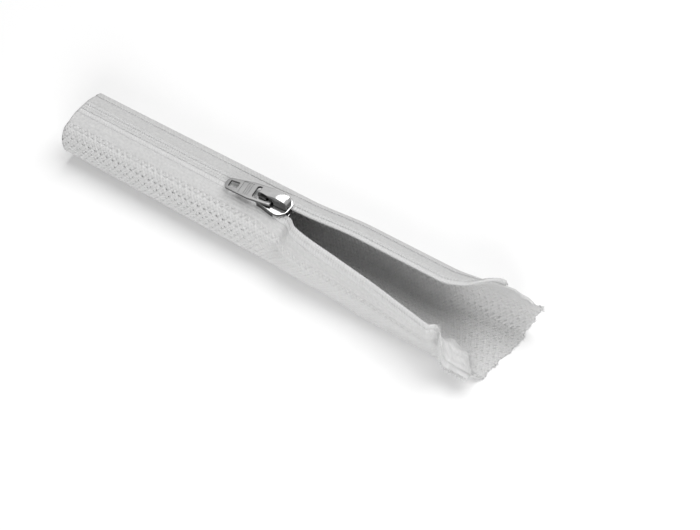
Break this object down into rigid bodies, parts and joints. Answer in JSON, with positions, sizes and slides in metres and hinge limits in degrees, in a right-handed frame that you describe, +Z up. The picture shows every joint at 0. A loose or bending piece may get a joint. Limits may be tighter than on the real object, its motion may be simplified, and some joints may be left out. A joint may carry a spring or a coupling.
{
  "type": "zippered cable sleeve",
  "caption": "White woven mesh tube with a coil zip along its top, slider part way and the free end lying open, for bundling cables.",
  "frame": {"origin": "middle of the whole outline, on the surface that the sleeve lies on", "axes": "+X along the sleeve towards its open end, +Y towards its far side, +Z up through the zip"},
  "size_m": [0.191, 0.039, 0.0268],
  "materials": {
    "mesh_cloth": "woven white polyester mesh, matt",
    "zip_tape": "close herringbone weave, matt white",
    "zip_coil": "smooth white monofilament",
    "sewing_thread": "twisted white thread",
    "bright_plating": "bright nickel plate on a zinc casting",
    "satin_plating": "satin nickel plate",
    "spring_steel": "plain rolled strip"
  },
  "bodies": {
    "sleeve": {"sleeve_mesh": "mesh_cloth", "zip_tape_near": "zip_tape", "zip_tape_far": "zip_tape", "zip_coil_near": "zip_coil", "zip_coil_far": "zip_coil", "seam_thread_near": "sewing_thread", "seam_thread_far": "sewing_thread"},
    "slider": {"slider_body": "bright_plating", "slider_cap": "bright_plating", "lock_spring": "spring_steel"},
    "tab": {"pull_tab": "satin_plating"}
  },
  "joints": [
    {"name": "slider_travel", "type": "slide", "parent": "sleeve", "child": "slider", "axis": [1, 0, 0], "range_m": [-0.082, 0], "deforming": ["zip_coil_near", "zip_coil_far"]},
    {"name": "tab_swing", "type": "hinge", "parent": "slider", "child": "tab", "pos_m": [-0.0061, 0.00234, 0.0233], "axis": [-0.1219, 0.9925, 0], "range_deg": [0, 165]}
  ]
}
